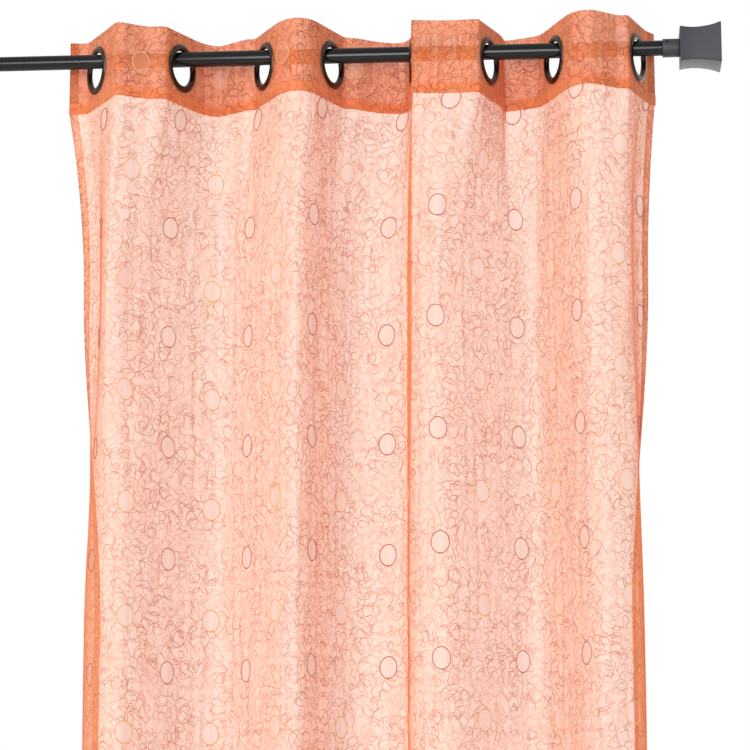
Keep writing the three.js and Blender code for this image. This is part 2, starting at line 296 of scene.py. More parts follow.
for side, way in (("left", -1), ("right", 1)):
    low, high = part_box(f"{side}_collar")
    near, far = (high[0], low[0]) if way < 0 else (low[0], high[0])
    edge = COLLAR_EDGE * way
    collar = new_piece(f"{side}_sleeve", *lathe([
        (near, 0), (near, COLLAR_RADIUS - COLLAR_EDGE), (near + edge * 0.3, COLLAR_RADIUS - 0.0002),
        (near + edge, COLLAR_RADIUS), (far - edge * 3, COLLAR_RADIUS),
        (far - edge * 2.6, COLLAR_RADIUS - COLLAR_GROOVE), (far - edge * 2.2, COLLAR_RADIUS),
        (far - edge, COLLAR_RADIUS), (far, COLLAR_RADIUS - COLLAR_EDGE), (far, 0),
    ]), moulded)
    screw = new_piece(f"{side}_grub_screw", *grub_screw_mesh(
        near + SCREW_SHARE * (far - near), COLLAR_RADIUS), enamel)
    low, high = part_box(f"{side}_end_piece")
    inner, outer = (high[0], low[0]) if way < 0 else (low[0], high[0])
    square = new_piece(f"{side}_square_end", *end_piece_mesh(inner, outer), moulded)
    for piece in (collar, screw, square):
        crease_sharp(piece, 40)
        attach(piece, "root")
    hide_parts(f"{side}_collar")
    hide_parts(f"{side}_end_piece")


# ------------------------------------------------------------------ Eyelets
# Two-part snap rings pressed from sheet steel and plated black nickel. The domed front half
# rolls into the bore, and a flatter ring with a fine step closes it behind the cloth.
BORE_RADIUS = 0.020
EYELET_DROP = 0.0105      # how far its middle hangs below the rod's
EYELET_STEPS = 72
# The heading's line of cloth, seen from above, in millimetres: x along the rod, how far in
# front of its axis, the cloth's way in degrees (0 to the right, 90 to the front), and how far
# it holds that way before and after the row.
HEADING_FOLDS = [
    ("left edge", -343, -25, -4, 0, 8),
    ("eyelet", -306.5, 0, 58.5, 6, 14),
    ("front 1", -274, 49, -18, 5, 9),
    ("shoulder 1", -243, 30, -18, 8, 6),
    ("eyelet", -209.5, 0, -64.5, 8, 12),
    ("back 1", -172, -50, 6, 8, 4),
    ("slack 1", -138, -27, 28, 12, 5),
    ("eyelet", -113.5, 0, 61, 3, 12),
    ("front 2", -74, 49, -2, 8, 12),
    ("eyelet", -37, 0, -66.5, 20, 4),
    ("slack 2", -4, -37, -38, 12, 14),
    ("back 2", 37, -55, 2, 14, 6),
    ("eyelet", 54.5, 0, 86, 12, 5),
    ("front 3", 90, 26, -3, 27, 24),
    ("eyelet", 142, 0, -69.5, 3, 18),
    ("back 3", 159, -56, 14, 2, 12),
    ("slack 3", 192, -43, 22, 10, 5),
    ("eyelet", 216.5, 0, 67, 8, 14),
    ("front 4", 256, 51, -4, 12, 8),
    ("slack 4", 286, 30, -38, 14, 6),
    ("eyelet", 309.5, 0, -70.5, 4, 8),
    ("right edge", 330, -44, -58, 6, 0),
]
EYELETS = [(x, turn) for at, x, _, turn, *_ in HEADING_FOLDS if at == "eyelet"]

# Plated steel: black nickel is dark and mirror-like, tinted warm brown all over as a painted
# reflection of the orange cloth, with fine handling scratches that only change how sharp the
# reflection is.
nickel, tree = new_material("black_nickel_plate")
place = add_node(tree, "TexCoord").outputs["Object"]
haze = add_node(tree, "TexNoise", {"Vector": place, "Scale": 160.0, "Detail": 4.0})
scratches = add_node(tree, "TexWave", {
    "Vector": place, "Scale": 260.0, "Distortion": 6.0, "Detail": 2.0},
    wave_type="RINGS", rings_direction="Z").outputs["Fac"]
gloss = add_node(tree, "MapRange", {"Value": haze, "To Min": 0.16, "To Max": 0.26})
# the two warm browns are the painted reflection of the cloth, varied at random by the haze
finish_surface(tree, haze, "#443b39", "#574b46", scratches, 0.04, 0.0001, {
    "Metallic": 1.0, "Roughness": gloss})

# mm out from the bore, and mm above the cloth's middle
FRONT_DOME = [(0, 0), (0.1, 0.8), (0.4, 1.6), (1.0, 2.3), (1.8, 2.8), (2.9, 3.1), (4.0, 3.15),
              (5.1, 3.0), (6.3, 2.65), (7.1, 2.2), (7.6, 1.8), (7.9, 1.6), (7.6, 1.5), (3.5, 1.5)]
BACK_RING = [(3.5, 1.5), (7.6, 1.5), (7.9, 1.7), (7.4, 2.3), (5.9, 2.6), (4.2, 2.7), (2.7, 2.7),
             (2.3, 2.4), (1.3, 2.4), (0.5, 2.0), (0.1, 1.0)]
ring_outline = [(-height / 1000, BORE_RADIUS + out / 1000) for out, height in FRONT_DOME]
ring_outline += [(height / 1000, BORE_RADIUS + out / 1000) for out, height in BACK_RING]
ring_points, ring_faces = lathe(ring_outline, EYELET_STEPS)
for number, (x, turn) in enumerate(EYELETS, 1):
    # the lathe's X axis becomes the cloth's normal
    angle = math.pi / 2 - math.radians(turn)
    cos, sin = math.cos(angle), math.sin(angle)
    vertices = [(x / 1000 + cos * px - sin * py, sin * px + cos * py, pz - EYELET_DROP)
                for px, py, pz in ring_points]
    ring = new_piece(f"snap_ring_{number}", vertices, ring_faces, nickel)
    crease_sharp(ring, 50)
    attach(ring, "root")
    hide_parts(f"eyelet_{number}")


# ------------------------------------------------------------------ How the cloth hangs
# One width of voile. Seen from above it runs as one smooth line: flat through each eyelet in
# the heading, and in looser folds lower down. All of it is worked out in millimetres.
CLOTH_WIDTH = 1100
HEADING_TOP = 31
HEADING_BOTTOM = -54
CLOTH_BOTTOM = -2368
EYELET_FLAT = 57
# a row: x, how far in front of the rod, the way it runs in degrees, hold before, hold after
SECTIONS = [
    (-263, [
        (-328, -46, 30, 0, 9), (-299, -6, 88, 22, 24), (-276, 47, 0, 12, 14),
        (-166, -51, 0, 24, 16), (-71, 47, 0, 20, 12), (6, -52, 0, 38, 14),
        (50, -8, 108, 34, 22), (84, 38, 0, 18, 16), (184, -54, 0, 14, 16),
        (258, 50, 0, 20, 16), (300, 8, -86, 26, 16), (319, -30, -45, 10, 0)]),
    (-639, [
        (-303, -52, 122, 0, 10), (-315, -24, 88, 14, 18), (-264, 45, 0, 24, 14),
        (-168, -52, 0, 26, 18), (-73, 47, 0, 20, 14), (2, -54, 0, 38, 14),
        (47, -14, 99, 36, 22), (87, 38, 0, 22, 20), (187, -56, 0, 18, 18),
        (262, 46, 0, 20, 18), (305, 4, -90, 24, 16), (294, -40, -112, 12, 0)]),
    (CLOTH_BOTTOM, [
        (-297, -50, 128, 0, 12), (-312, -18, 86, 14, 18), (-254, 48, 0, 28, 20),
        (-156, -50, 0, 30, 24), (-64, 50, 0, 26, 18), (8, -52, 0, 38, 16),
        (54, -8, 78, 30, 24), (96, 44, 0, 26, 24), (188, -54, 0, 22, 24),
        (264, 46, 0, 26, 22), (302, 2, -86, 20, 16), (288, -42, -118, 12, 0)]),
]
CURVE_STEPS = 160


def fold_curve(a, b):
    """Points of one cubic curve from row a to row b."""
    ax, af, a_turn, _, a_hold = a
    bx, bf, b_turn, b_hold, _ = b
    p0, p3 = np.array([ax, af], float), np.array([bx, bf], float)
    a_way = np.array([math.cos(math.radians(a_turn)), math.sin(math.radians(a_turn))])
    b_way = np.array([math.cos(math.radians(b_turn)), math.sin(math.radians(b_turn))])
    p1, p2 = p0 + a_way * a_hold, p3 - b_way * b_hold
    t = np.linspace(0, 1, CURVE_STEPS + 1)[:, None]
    return (1 - t)**3 * p0 + 3 * t * (1 - t)**2 * p1 + 3 * t**2 * (1 - t) * p2 + t**3 * p3


def solve(measure, goal, low, high):
    """The value between low and high at which a rising measure reaches the goal."""
    for _ in range(40):
        middle = (low + high) / 2
        if measure(middle) < goal:
            low = middle
        else:
            high = middle
    return (low + high) / 2


def heading_line():
    """The heading: an eyelet's row stands for both ends of the flat that it holds."""
    rows = []
    for at, x, front, turn, before, after in HEADING_FOLDS:
        if at != "eyelet":
            rows.append((x, front, turn, before, after))
            continue
        half = EYELET_FLAT / 2
        dx, dy = half * math.cos(math.radians(turn)), half * math.sin(math.radians(turn))
        rows += [(x - dx, front - dy, turn, before, half), (x + dx, front + dy, turn, half, after)]
    return ClothLine(rows)


class ClothLine:
    """A line of cloth from edge to edge that is read by the share of its length."""

    def __init__(self, rows):
        points = np.vstack([fold_curve(a, b) for a, b in zip(rows, rows[1:])])
        steps = np.linalg.norm(np.diff(points, axis=0), axis=1)
        self.points = points[np.concatenate([[True], steps > 1e-9])]
        steps = steps[steps > 1e-9]
        self.length = steps.sum()
        self.shares = np.concatenate([[0], np.cumsum(steps)]) / self.length

    def at(self, share):
        return np.stack([np.interp(share, self.shares, self.points[:, k]) for k in (0, 1)], -1)


def body_line(rows):
    """Folds as deep as the width of the cloth asks for."""
    def deepened(depth):
        return ClothLine([(x, front * depth, *rest) for x, front, *rest in rows])
    return deepened(solve(lambda depth: deepened(depth).length, CLOTH_WIDTH, 0.6, 1.6))


heading = heading_line()
levels = [(HEADING_BOTTOM, heading)] + [(z, body_line(rows)) for z, rows in SECTIONS]


def smoothstep(t):
    t = np.clip(t, 0, 1)
    return t * t * (3 - 2 * t)


def fold_point(share, z):
    """Where the middle of the cloth is, in mm, for arrays of shares and heights."""
    share, z = np.broadcast_arrays(np.asarray(share, float), np.asarray(z, float))
    place = heading.at(share)
    for (top, above), (bottom, below) in zip(levels, levels[1:]):
        here = z < top
        down = np.clip((top - z) / (top - bottom), 0, 1)
        # the folds open at once under the heading, and then change slowly
        blend = 1 - (1 - down)**2 if top == HEADING_BOTTOM else smoothstep(down)
        mixed = above.at(share) * (1 - blend[..., None]) + below.at(share) * blend[..., None]
        place = np.where(here[..., None], mixed, place)
    return np.stack([place[..., 0], -place[..., 1], z], -1)


# Soft unevenness on top of the folds, as the light cloth wanders between them: rows of
# (waves over the width, waves over the drop, phase, mm)
RIPPLES = [
    (23, 1.5, 0.4, 0.55), (31, 2.3, 2.1, 0.4), (47, 3.1, 4.0, 0.28), (14, 4.0, 1.2, 0.6),
    (61, 5.2, 5.3, 0.16),
]
RIPPLE_START = 120        # mm below the heading over which they grow


def ripple(share, z):
    down = (HEADING_TOP - z) / (HEADING_TOP - CLOTH_BOTTOM)
    lift = sum(mm * np.sin(2 * math.pi * (across * share + drop * down) + phase)
               * np.sin(2 * math.pi * drop * down * 0.7 + 1.7 * phase)
               for across, drop, phase, mm in RIPPLES)
    return lift * smoothstep((HEADING_BOTTOM - z) / RIPPLE_START)


def cloth_place(share, z, off=0.0):
    """Points of the cloth in metres, off mm behind its middle."""
    share, z, off = np.broadcast_arrays(*(np.asarray(v, float) for v in (share, z, off)))
    d = 1e-4
    across = fold_point(share + d, z) - fold_point(share - d, z)
    at_edge = (share < d) | (share > 1 - d)
    inner = np.clip(share, d, 1 - d)
    across = np.where(at_edge[..., None], fold_point(inner + d, z) - fold_point(inner - d, z), across)
    flat = np.stack([across[..., 0], across[..., 1]], -1)
    flat /= np.linalg.norm(flat, axis=-1, keepdims=True)
    normal = np.stack([-flat[..., 1], flat[..., 0], np.zeros_like(z)], -1)
    return (fold_point(share, z) + normal * (off + ripple(share, z))[..., None]) / 1000


# ------------------------------------------------------------------ Voile
# Plain-woven polyester voile, dyed peach-orange, with an all-over wandering line stitched
# into it and plain oval windows where the embroidered rings sit. One cut width, hemmed.
SIDE_HEM = 10.0           # mm, on the left
RIGHT_HEM = 13.0
BOTTOM_HEM = 60.0
HEM_BEHIND = 0.7          # mm, how far a turned layer lies behind the cloth
BOTTOM_HEM_BEHIND = 1.6
UNDER_BAND = 8.0          # how far the panel runs up under the heading's turned band
VIEW_ROW = 7.0            # mm between the rows that show from near, down to VIEW_BOTTOM
VIEW_BOTTOM = -820
LOW_ROW = 15.0
CLOTH_COLUMN = 4.4
WINDOW_ACROSS = 62.8      # mm between columns of rings
WINDOW_DOWN = 125.6       # mm between two rings of a column
WINDOW_RADIUS = 12.2      # up and down, and this much of it across
NARROWING = 0.87
WINDOW_EDGE = 0.5         # mm each way over which it fades
FIRST_COLUMN = 74.0       # mm from the left edge
LAST_COLUMN = 16
FIRST_RUST = 106.2        # mm from the top edge, for the first rust ring at the left edge
GOLD_LATE = 3.0           # mm below half way that the gold rings lie
ROW_RISE = 0.0204         # the rows rise to the right, mm for each mm
LINE_CELLS = [(13.2, 0.0), (15.8, 37.0), (19.0, 71.0)]   # mm a loop, and a shift
LOOP_SMALLEST = 0.24      # radius as a share of its cell
LOOP_GROWTH = 0.2         # what chance adds to that
LOOP_FAINTEST = 0.4
MOUTH_SIDE = (0.3, 0.55)  # cosines from a loop's mouth between which its line fades out
CURL_RADIUS = 0.55        # share of the loop's
PLAIN_LOOPS = 0.85        # the share of loops without a curl
LINK_WAVES = [(0.05, 0.0), (0.068, 53.0)]   # waves a mm of a linking line, and a shift
LINK_STRENGTH = 0.85
LINK_SLOPE = (0.2, 0.4)   # shares of the waves between which a link shows in full
SWING = 5.0               # mm by which the whole pattern is swung to and fro
SWING_WAVES = 0.06        # a mm
LINE_INNER = 0.22         # mm from the line's middle to where it starts to fade
LINE_OUTER = 0.66         # the real line is finer: this is the least that still shows
SLUB_COVER = 0.08         # how much cover a slub has more than the space between two
PATCH_COVER = 0.1
PAINTED_CREASE_SHADE = 0.5             # how much the cloth's running edge-on to the front adds to its cover and deep colour: painted crease shade
MOST_EDGE_ON = 12.0
HEM_TURNS = 1.5           # a hem is turned twice, but its first turn is narrower
# for a MapRange, whose inputs are a value, the two that it runs from and the two it runs to
SMOOTH = {"interpolation_type": "SMOOTHSTEP"}


def window_mask(tree, u, v):
    """1 inside the plain windows: columns of ovals, every second one set half a repeat down."""
    column = add_node(tree, "Math SUBTRACT", (u, FIRST_COLUMN))
    column = add_node(tree, "Math DIVIDE", (column, WINDOW_ACROSS))
    nearest = add_node(tree, "Math ROUND", (column,))
    nearest = add_node(tree, "Math MAXIMUM", (nearest, 0.0))
    nearest = add_node(tree, "Math MINIMUM", (nearest, float(LAST_COLUMN)))
    dx = add_node(tree, "Math SUBTRACT", (column, nearest))
    dx = add_node(tree, "Math MULTIPLY", (dx, WINDOW_ACROSS / NARROWING))
    gold = add_node(tree, "Math MODULO", (nearest, 2.0))
    row = add_node(tree, "Math SUBTRACT", (v, FIRST_RUST))
    row = add_node(tree, "Math MULTIPLY_ADD", (u, ROW_RISE, row))
    row = add_node(tree, "Math DIVIDE", (row, WINDOW_DOWN))
    row = add_node(tree, "Math MULTIPLY_ADD", (gold, -0.5 - GOLD_LATE / WINDOW_DOWN, row))
    dy = add_node(tree, "Math ROUND", (row,))
    dy = add_node(tree, "Math SUBTRACT", (row, dy))
    dy = add_node(tree, "Math MULTIPLY", (dy, WINDOW_DOWN))
    away = add_node(tree, "CombineXYZ", (dx, dy))
    away = add_node(tree, "VectorMath LENGTH", (away,)).outputs["Value"]
    return add_node(tree, "MapRange", (
        away, WINDOW_RADIUS - WINDOW_EDGE, WINDOW_RADIUS + WINDOW_EDGE, 1.0, 0.0), **SMOOTH)


def wandering_line(tree, place):
    """Open loops of uneven size that overlap and break off, and lines that link them."""
    swing = add_node(tree, "TexNoise", {
        "Vector": place, "Scale": SWING_WAVES, "Detail": 0.0}, noise_dimensions="2D")
    swung = add_node(tree, "VectorMath MULTIPLY_ADD", (
        swing.outputs["Color"], (SWING, SWING, 0.0), place))
    line = 0.0
    for cell, shift in LINE_CELLS:
        field = add_node(tree, "VectorMath ADD", (swung, (shift, shift * 1.7, 0.0)))
        spot = add_node(tree, "TexVoronoi", {
            "Vector": field, "Scale": 1 / cell, "Randomness": 0.8}, voronoi_dimensions="2D")
        chance = add_node(tree, "SeparateColor", (spot.outputs["Color"],))
        radius = add_node(tree, "Math MULTIPLY_ADD", (
            chance.outputs["Red"], LOOP_GROWTH, LOOP_SMALLEST))
        gap = add_node(tree, "Math SUBTRACT", (spot.outputs["Distance"], radius))
        gap = add_node(tree, "Math ABSOLUTE", (gap,))
        # some loops curl on into a smaller one
        curl = add_node(tree, "Math MULTIPLY_ADD", (radius, -CURL_RADIUS, spot.outputs["Distance"]))
        curl = add_node(tree, "Math ABSOLUTE", (curl,))
        plain = add_node(tree, "Math LESS_THAN", (chance.outputs["Blue"], PLAIN_LOOPS))
        curl = add_node(tree, "Math ADD", (curl, plain))
        gap = add_node(tree, "Math MINIMUM", (gap, curl))
        loop = add_node(tree, "MapRange", (
            gap, LINE_INNER / cell, LINE_OUTER / cell, 1.0, 0.0), **SMOOTH)
        strength = add_node(tree, "Math MULTIPLY_ADD", (
            chance.outputs["Green"], 1 - LOOP_FAINTEST, LOOP_FAINTEST))
        # each loop is open towards a side of its own
        out = add_node(tree, "VectorMath SUBTRACT", (field, spot.outputs["Position"]))
        out = add_node(tree, "VectorMath NORMALIZE", (out,))
        mouth = add_node(tree, "VectorMath SUBTRACT", (spot.outputs["Color"], (0.5, 0.5, 0.5)))
        mouth = add_node(tree, "VectorMath MULTIPLY", (mouth, (1.0, 1.0, 0.0)))
        mouth = add_node(tree, "VectorMath NORMALIZE", (mouth,))
        towards = add_node(tree, "VectorMath DOT_PRODUCT", (out, mouth)).outputs["Value"]
        closed = add_node(tree, "MapRange", (towards, *MOUTH_SIDE, 1.0, 0.0), **SMOOTH)
        for share in (strength, closed):
            loop = add_node(tree, "Math MULTIPLY", (loop, share))
        line = add_node(tree, "Math MAXIMUM", (line, loop))
    for waves, shift in LINK_WAVES:
        # where a smooth field crosses its middle value, over its slope, gives an even width
        values = []
        for x, y in ((0.0, 0.0), (1.0, 0.0), (0.0, 1.0)):
            field = add_node(tree, "VectorMath ADD", (swung, (shift + x, y - shift, 0.0)))
            values.append(add_node(tree, "TexNoise", {
                "Vector": field, "Scale": waves, "Detail": 0.0},
                noise_dimensions="2D").outputs["Fac"])
        middle, right, lower = values
        slope_x = add_node(tree, "Math SUBTRACT", (right, middle))
        slope_y = add_node(tree, "Math SUBTRACT", (lower, middle))
        slope = add_node(tree, "CombineXYZ", (slope_x, slope_y))
        slope = add_node(tree, "VectorMath LENGTH", (slope,)).outputs["Value"]
        off = add_node(tree, "Math SUBTRACT", (middle, 0.5))
        off = add_node(tree, "Math ABSOLUTE", (off,))
        off = add_node(tree, "Math DIVIDE", (off, slope))
        link = add_node(tree, "MapRange", (off, LINE_INNER, LINE_OUTER, LINK_STRENGTH, 0.0), **SMOOTH)
        # it breaks off where the field is so flat that it would spread
        steep = add_node(tree, "MapRange", (
            slope, waves * LINK_SLOPE[0], waves * LINK_SLOPE[1]), **SMOOTH)
        link = add_node(tree, "Math MULTIPLY", (link, steep))
        line = add_node(tree, "Math MAXIMUM", (line, link))
    worn = add_node(tree, "TexNoise", {
        "Vector": place, "Scale": 0.03, "Detail": 1.0}, noise_dimensions="2D").outputs["Fac"]
    worn = add_node(tree, "MapRange", (worn, 0.3, 0.6, 0.6, 1.0), **SMOOTH)
    return add_node(tree, "Math MULTIPLY", (line, worn))


def voile_material(name, ground, deep, thread, window, cover, cover_thread, cover_window, through):
    """Sheer ground that passes light, denser along the thread, in the hems, and where the cloth runs
    edge-on to the front, which is painted crease shade with a deeper colour too. A cover is the share
    of light that is stopped there, and of the cloth's own light the share through comes from behind."""
    material, tree = new_material(name)
    uv = add_node(tree, "UVMap", uv_map="cloth")
    place = add_node(tree, "VectorMath SCALE", {0: uv, "Scale": 1000.0})
    split = add_node(tree, "SeparateXYZ", (place,))
    inside = window_mask(tree, split.outputs["X"], split.outputs["Y"])
    outside = add_node(tree, "Math SUBTRACT", (1.0, inside))
    line = add_node(tree, "Math MULTIPLY", (wandering_line(tree, place), outside))

    # the weave is far finer than shows, so slubs and soft streaks stand in for it
    warp = add_node(tree, "Mapping", {"Vector": place, "Scale": (0.9, 0.02, 1.0)})
    slub = add_node(tree, "TexNoise", {
        "Vector": warp, "Scale": 1.0, "Detail": 2.0}, noise_dimensions="2D").outputs["Fac"]
    pulled = add_node(tree, "Mapping", {"Vector": place, "Scale": (0.12, 0.012, 1.0)})
    streak = add_node(tree, "TexNoise", {
        "Vector": pulled, "Scale": 1.0, "Detail": 3.0}, noise_dimensions="2D").outputs["Fac"]
    patch = add_node(tree, "MapRange", (streak, 0.32, 0.68), **SMOOTH)

    # painted crease shade: where the cloth runs edge-on to the front it gets more cover and a deeper
    # colour, and the hems' extra layers add to that
    layers_and_painted_crease_shade = add_node(tree, "Attribute", attribute_name="layers_and_painted_crease_shade").outputs["Fac"]
    dyed = add_node(tree, "MapRange", (layers_and_painted_crease_shade, 1.3, 3.0, 0.0, 0.9), **SMOOTH)
    base = linear(ground[0])
    for share, colour in ((patch, ground[1]), (inside, window), (line, thread), (dyed, deep)):
        base = add_node(tree, "Mix", {0: share, 6: base, 7: linear(colour)}, data_type="RGBA")
    # how much of the light threads stop: for one layer, and then raised by the hem layers and the
    # painted crease shade
    dense = cover - (SLUB_COVER + PATCH_COVER) / 2
    for share, more in ((slub, SLUB_COVER), (patch, PATCH_COVER), (inside, cover_window - cover),
                        (line, cover_thread - cover)):
        dense = add_node(tree, "Math MULTIPLY_ADD", (share, more, dense))
    gaps = add_node(tree, "Math SUBTRACT", (1.0, dense))
    gaps = add_node(tree, "Math POWER", (gaps, layers_and_painted_crease_shade))

    height = add_node(tree, "Math MULTIPLY_ADD", (slub, 0.3, line))
    bump = add_node(tree, "Bump", {"Strength": 0.35, "Distance": 0.0006, "Height": height})
    face = add_node(tree, "BsdfPrincipled", {
        "Base Color": base, "Roughness": 0.75, "Specular IOR Level": 0.2, "Sheen Weight": 0.15,
        "Sheen Roughness": 0.4, "Normal": bump})
    glow = add_node(tree, "BsdfTranslucent", {"Color": base, "Normal": bump})
    cloth = add_node(tree, "MixShader", (through, face, glow))
    clear = add_node(tree, "BsdfTransparent")
    sheer = add_node(tree, "MixShader", (gaps, cloth, clear))
    add_node(tree, "OutputMaterial", (sheer,))
    return material


def turned_edges(width, left, right, step, behind):
    """Columns from the left hem's raw edge, round its fold, over the face and back round the
    right hem: (mm from the left edge, mm behind the face, mm of flat cloth)."""
    face = np.linspace(0, width, round(width / step) + 1)[1:-1]
    columns = [(h, behind, -h) for h in (left, left / 2, 0.5)]
    columns += [(0, behind / 2, 0)] + [(x, 0, x) for x in face] + [(width, behind / 2, width)]
    return columns + [(width - h, behind, width + h) for h in (0.5, right / 2, right)]


def cloth_mesh(name, columns, rows, material):
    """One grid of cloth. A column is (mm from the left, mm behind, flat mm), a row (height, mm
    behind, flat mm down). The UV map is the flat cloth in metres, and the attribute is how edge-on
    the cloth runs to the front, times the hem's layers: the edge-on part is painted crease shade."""
    across, column_off, flat_u = (np.array(v, float) for v in zip(*columns))
    height, row_off, flat_v = (np.array(v, float)[:, None] for v in zip(*rows))
    points = cloth_place(across / CLOTH_WIDTH, height, column_off + row_off)
    # how edge-on the cloth runs to the front: painted crease shade, not real layers of cloth
    run = np.gradient(fold_point(across / CLOTH_WIDTH, height)[..., :2], axis=1)
    long, wide = np.linalg.norm(run, axis=-1), np.abs(run[..., 0])
    layers_and_painted_crease_shade = 1 + PAINTED_CREASE_SHADE * (np.clip(long / np.maximum(wide, 1e-6), 1, MOST_EDGE_ON) - 1)
    layers_and_painted_crease_shade *= np.where(column_off > 0, HEM_TURNS, 1)

    count = points.shape[0] * points.shape[1]
    index = np.arange(count).reshape(points.shape[:2])
    faces = np.stack([index[:-1, :-1], index[1:, :-1], index[1:, 1:], index[:-1, 1:]], -1)
    mesh = bpy.data.meshes.new(name)
    mesh.from_pydata(points.reshape(-1, 3).tolist(), [], faces.reshape(-1, 4).tolist())
    flat = np.stack(np.broadcast_arrays(flat_u[None, :], flat_v), -1).reshape(-1, 2) / 1000
    corners = np.zeros(len(mesh.loops), dtype=np.int32)
    mesh.loops.foreach_get("vertex_index", corners)
    mesh.uv_layers.new(name="cloth").data.foreach_set("uv", flat[corners].astype("f").ravel())
    mesh.attributes.new("layers_and_painted_crease_shade", "FLOAT", "POINT").data.foreach_set(
        "value", layers_and_painted_crease_shade.astype("f").ravel())
    mesh.materials.append(material)
    mesh.shade_smooth()
    piece = bpy.data.objects.new(name, mesh)
    bpy.context.scene.collection.objects.link(piece)
    return piece


# deep is the colour of the painted crease shade
voile = voile_material(
    "sheer_polyester_voile", ground=("#f5a76e", "#f0a778"), deep="#f27e42", thread="#bf6a50",
    window="#e6a480", cover=0.47, cover_thread=0.84, cover_window=0.5, through=0.5)

face_rows = np.concatenate([
    np.arange(HEADING_BOTTOM + UNDER_BAND, VIEW_BOTTOM, -VIEW_ROW),
    np.arange(VIEW_BOTTOM, CLOTH_BOTTOM + LOW_ROW / 2, -LOW_ROW),
])
hem_rows = np.linspace(0.5, BOTTOM_HEM, 6)
panel = cloth_mesh("voile_sheet", turned_edges(CLOTH_WIDTH, SIDE_HEM, RIGHT_HEM, CLOTH_COLUMN,
                                               HEM_BEHIND), [
    *[(z, 0, HEADING_TOP - z) for z in face_rows],
    (CLOTH_BOTTOM, BOTTOM_HEM_BEHIND / 2, HEADING_TOP - CLOTH_BOTTOM),
    *[(CLOTH_BOTTOM + h, BOTTOM_HEM_BEHIND, HEADING_TOP - CLOTH_BOTTOM + h) for h in hem_rows],
], voile)
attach(panel, "root")
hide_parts("voile_panel")


# ------------------------------------------------------------------ Heading
# The top 85 mm of the voile, folded over and stitched down, with its lower edge turned in once
# more, so that more layers stiffen it round the eyelets.
BAND = 12.0
HOLE_RADIUS = 0.024       # m, a little inside the snapped rings
NEAR_HOLE = 0.032         # m from its middle, within which points are looked at
RIM_REACH = 0.6           # share of a column within which a point moves onto a hole's rim
LAYER_OFF = 0.6           # mm from the middle to each of the two layers
BAND_OFF = 1.15           # and to the band on each side of them
TURNED_UP = 0.3           # mm, the small step at a fold
HEADING_COLUMNS = 2.75
# The heading's voile is a darker copy of the panel's, with more cover: painted shade for the light
# that the doubled cloth holds back. The band's is a lighter, redder copy: painted front light.
doubled = voile_material(
    "heading_voile_painted_shade", ground=("#f48e52", "#e49870"), deep="#f08a50", thread="#ad4f36",
    window="#e89c7c", cover=0.64, cover_thread=0.9, cover_window=0.62, through=0.3)
band_voile = voile_material(
    "band_voile_with_painted_light", ground=("#ffa068", "#fb9a66"), deep="#fc9058", thread="#cc5a34",
    window="#f89c68", cover=0.58, cover_thread=0.82, cover_window=0.58, through=0.2)


def cut_holes(piece):
    """Cuts the eyelets' holes: points near the hole's rim move onto it, the rest goes."""
    work = bmesh.new()
    work.from_mesh(piece.data)
    for x, turn in EYELETS:
        centre = np.array([x / 1000, 0, -EYELET_DROP])
        reach = HEADING_COLUMNS / 1000 * RIM_REACH
        a = math.radians(turn)
        normal = np.array([math.sin(a), math.cos(a), 0])
        for vertex in work.verts:
            way = np.array(vertex.co) - centre
            if np.linalg.norm(way) > NEAR_HOLE:
                continue
            behind = way @ normal
            flat = way - behind * normal
            r = np.linalg.norm(flat)
            if abs(r - HOLE_RADIUS) < reach:
                vertex.co = centre + flat * HOLE_RADIUS / r + behind * normal
        gone = []
        for face in work.faces:
            middle = np.array(face.calc_center_median()) - centre
            flat = middle - (middle @ normal) * normal
            if np.linalg.norm(middle) < NEAR_HOLE and np.linalg.norm(flat) < HOLE_RADIUS:
                gone.append(face)
        bmesh.ops.delete(work, geom=gone, context="FACES")
    work.to_mesh(piece.data)
    work.free()


heading_columns = turned_edges(CLOTH_WIDTH, SIDE_HEM, RIGHT_HEM, HEADING_COLUMNS, TURNED_UP)
layer_rows = np.linspace(HEADING_BOTTOM, HEADING_TOP - LAYER_OFF, 34)
strip_depth = HEADING_TOP - HEADING_BOTTOM
strip = cloth_mesh("heading_layers", heading_columns, [
    *[(z, -LAYER_OFF, HEADING_TOP - z) for z in layer_rows],
    (HEADING_TOP, 0, 0),
    *[(z, LAYER_OFF, z - HEADING_TOP) for z in layer_rows[::-1]],
], doubled)
cut_holes(strip)
band_rows = np.linspace(HEADING_BOTTOM + BAND, HEADING_BOTTOM, 6)
band = cloth_mesh("turned_band", heading_columns, [
    *[(z, -BAND_OFF, HEADING_TOP - z) for z in band_rows],
    (HEADING_BOTTOM - TURNED_UP, 0, strip_depth + TURNED_UP),
    *[(z, BAND_OFF, 2 * strip_depth - HEADING_TOP + z) for z in band_rows[::-1]],
], band_voile)
cut_holes(band)
for piece in (strip, band):
    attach(piece, "root")
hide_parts("heading_strip")


# ------------------------------------------------------------------ Embroidered rings and seams
# Rayon thread rings round the plain windows, worked in rust and in gold by turns, each with a
# small knot where it ends, and the lockstitch seams of the hems and the heading.
RING_THREAD = 1.2         # mm, as wide as it needs to show
KNOT = 2.2                # times as wide as the thread
RING_SIDES = 28
THREAD_SIDES = 4
STITCH_LENGTH = 2.6
STITCH_PITCH = 3.4
STITCH_WIDTH = 0.55
ACROSS_STOP = 3           # mm from the side edges at which the seams across end
DOWN_STOP = 4             # and from the heading and the bottom, for the seams down
HEM_SEAM = 1.5            # mm from where a side hem's raw edge lies
BOTTOM_SEAM = 2.0
RING_TURN = 0.15          # radians either way
STITCH_TURN = 0.12
ROWS = 24                 # as many as the drop could hold
SEED = 7
EDGE_CLEAR = 14.0         # mm from a side edge within which no ring is worked
EYELET_CLEAR = 41.0       # and from an eyelet's middle
FACE_OUT = 0.3            # mm from the cloth's middle to what is sewn on its face
LAYERS_OUT = 1.1          # what the heading's layers add to that
FACE_STEP = 6             # mm below the heading over which this is added


